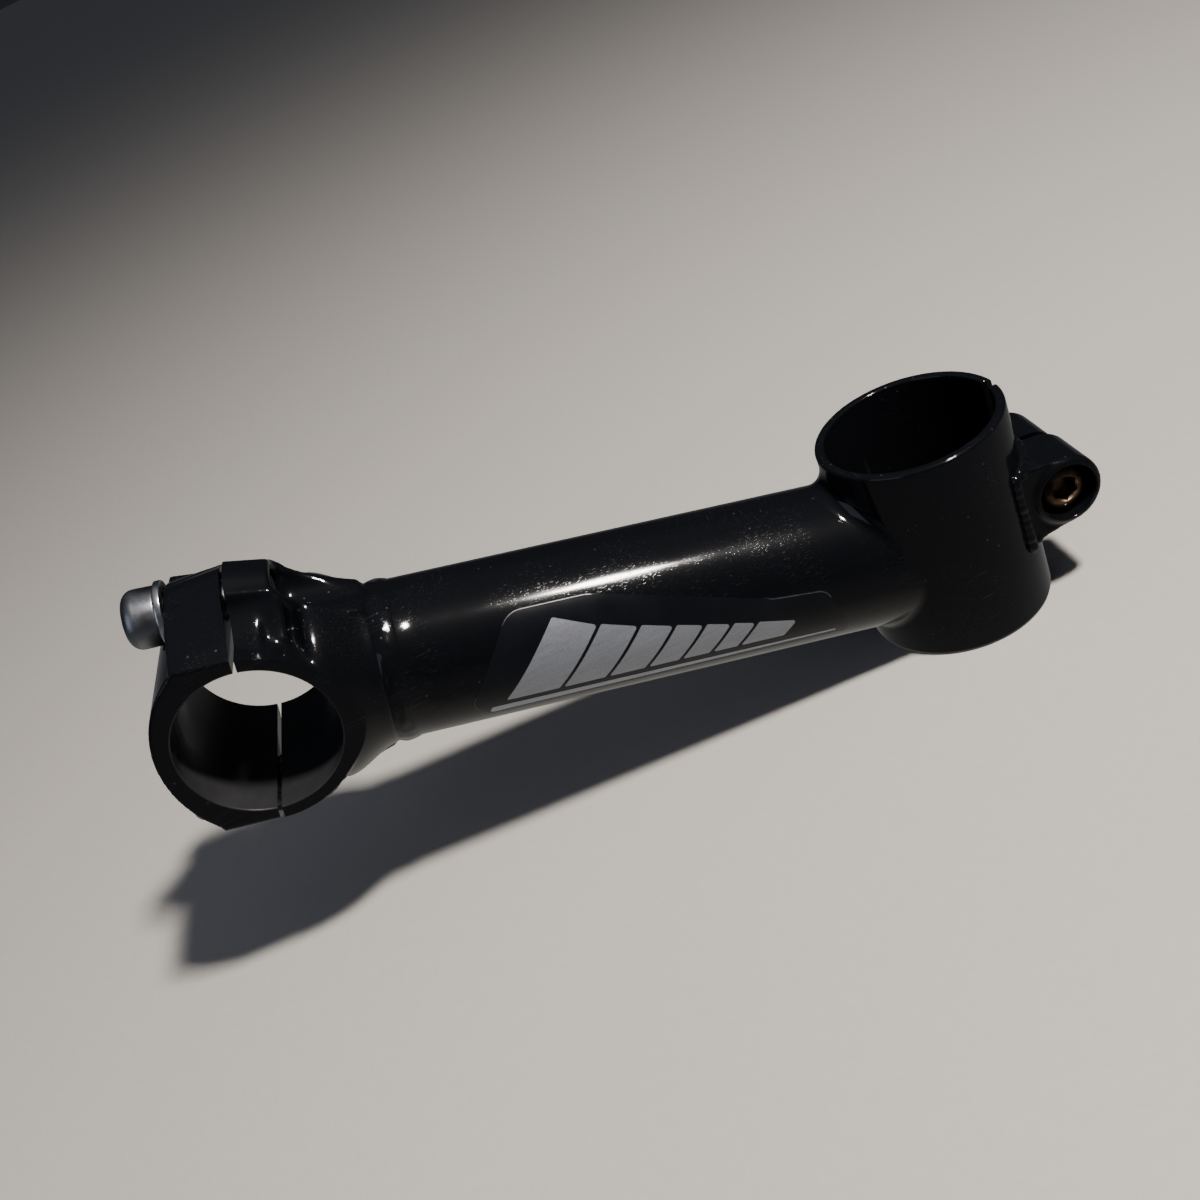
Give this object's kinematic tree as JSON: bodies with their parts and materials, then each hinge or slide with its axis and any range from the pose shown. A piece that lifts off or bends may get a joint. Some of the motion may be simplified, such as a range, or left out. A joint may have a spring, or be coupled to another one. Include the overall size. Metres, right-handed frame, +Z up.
{
  "type": "handlebar stem",
  "caption": "Gloss black welded bicycle handlebar stem with a bolted faceplate, a slotted steerer clamp with a pinch bolt, and a silver graphic along the extension.",
  "frame": {"origin": "centre of the steerer clamp's bottom face, on the steerer's axis", "axes": "+Z up along the steerer's axis, +X forwards to the handlebar, +Y to the rider's left along the bar"},
  "size_m": [0.1622, 0.032, 0.0707],
  "materials": {
    "frame_paint": "gloss",
    "bolt_steel": "satin",
    "washer_steel": "bright",
    "weathered_bolt_steel": "weathered",
    "decal_silver": "satin metallic print under clear film"
  },
  "bodies": {
    "stem": {"steerer_clamp_tube": "frame_paint", "pinch_ear_left": "frame_paint", "pinch_ear_right": "frame_paint", "pinch_ear_weld_left": "frame_paint", "pinch_ear_weld_right": "frame_paint", "extension_tube": "frame_paint", "extension_weld_rear": "frame_paint", "extension_weld_front": "frame_paint", "bar_clamp_cradle": "frame_paint", "decal_left": "decal_silver", "decal_right": "decal_silver"},
    "faceplate": {"faceplate": "frame_paint", "faceplate_washer_upper": "washer_steel", "faceplate_washer_lower": "washer_steel"},
    "upper_bolt": {"faceplate_bolt_upper": "bolt_steel"},
    "lower_bolt": {"faceplate_bolt_lower": "bolt_steel"},
    "pinch_washer": {"pinch_washer": "washer_steel"},
    "pinch_bolt": {"pinch_bolt": "weathered_bolt_steel"}
  },
  "joints": [
    {"name": "faceplate_slide", "type": "slide", "parent": "stem", "child": "faceplate", "axis": [0.9659, 0, 0.2588], "range_m": [0, 0.0064]},
    {"name": "upper_bolt_turn", "type": "hinge", "parent": "faceplate", "child": "upper_bolt", "pos_m": [0.12201, 0, 0.06511], "axis": [0.9659, 0, 0.2588], "range_deg": [0, 2304]},
    {"name": "lower_bolt_turn", "type": "hinge", "parent": "faceplate", "child": "lower_bolt", "pos_m": [0.13107, 0, 0.0313], "axis": [0.9659, 0, 0.2588], "range_deg": [0, 2304]},
    {"name": "pinch_bolt_travel", "type": "slide", "parent": "stem", "child": "pinch_washer", "axis": [0, 1, 0], "range_m": [0, 0.0088]},
    {"name": "pinch_bolt_turn", "type": "hinge", "parent": "pinch_washer", "child": "pinch_bolt", "pos_m": [-0.0191, 0.008, 0.019], "axis": [0, 1, 0], "range_deg": [0, 3960]}
  ],
  "couplings": [
    {"joint": "upper_bolt_turn", "follows": "faceplate_slide", "rad_per_m": 6283.2},
    {"joint": "lower_bolt_turn", "follows": "faceplate_slide", "rad_per_m": 6283.2},
    {"joint": "pinch_bolt_turn", "follows": "pinch_bolt_travel", "rad_per_m": 7854}
  ]
}
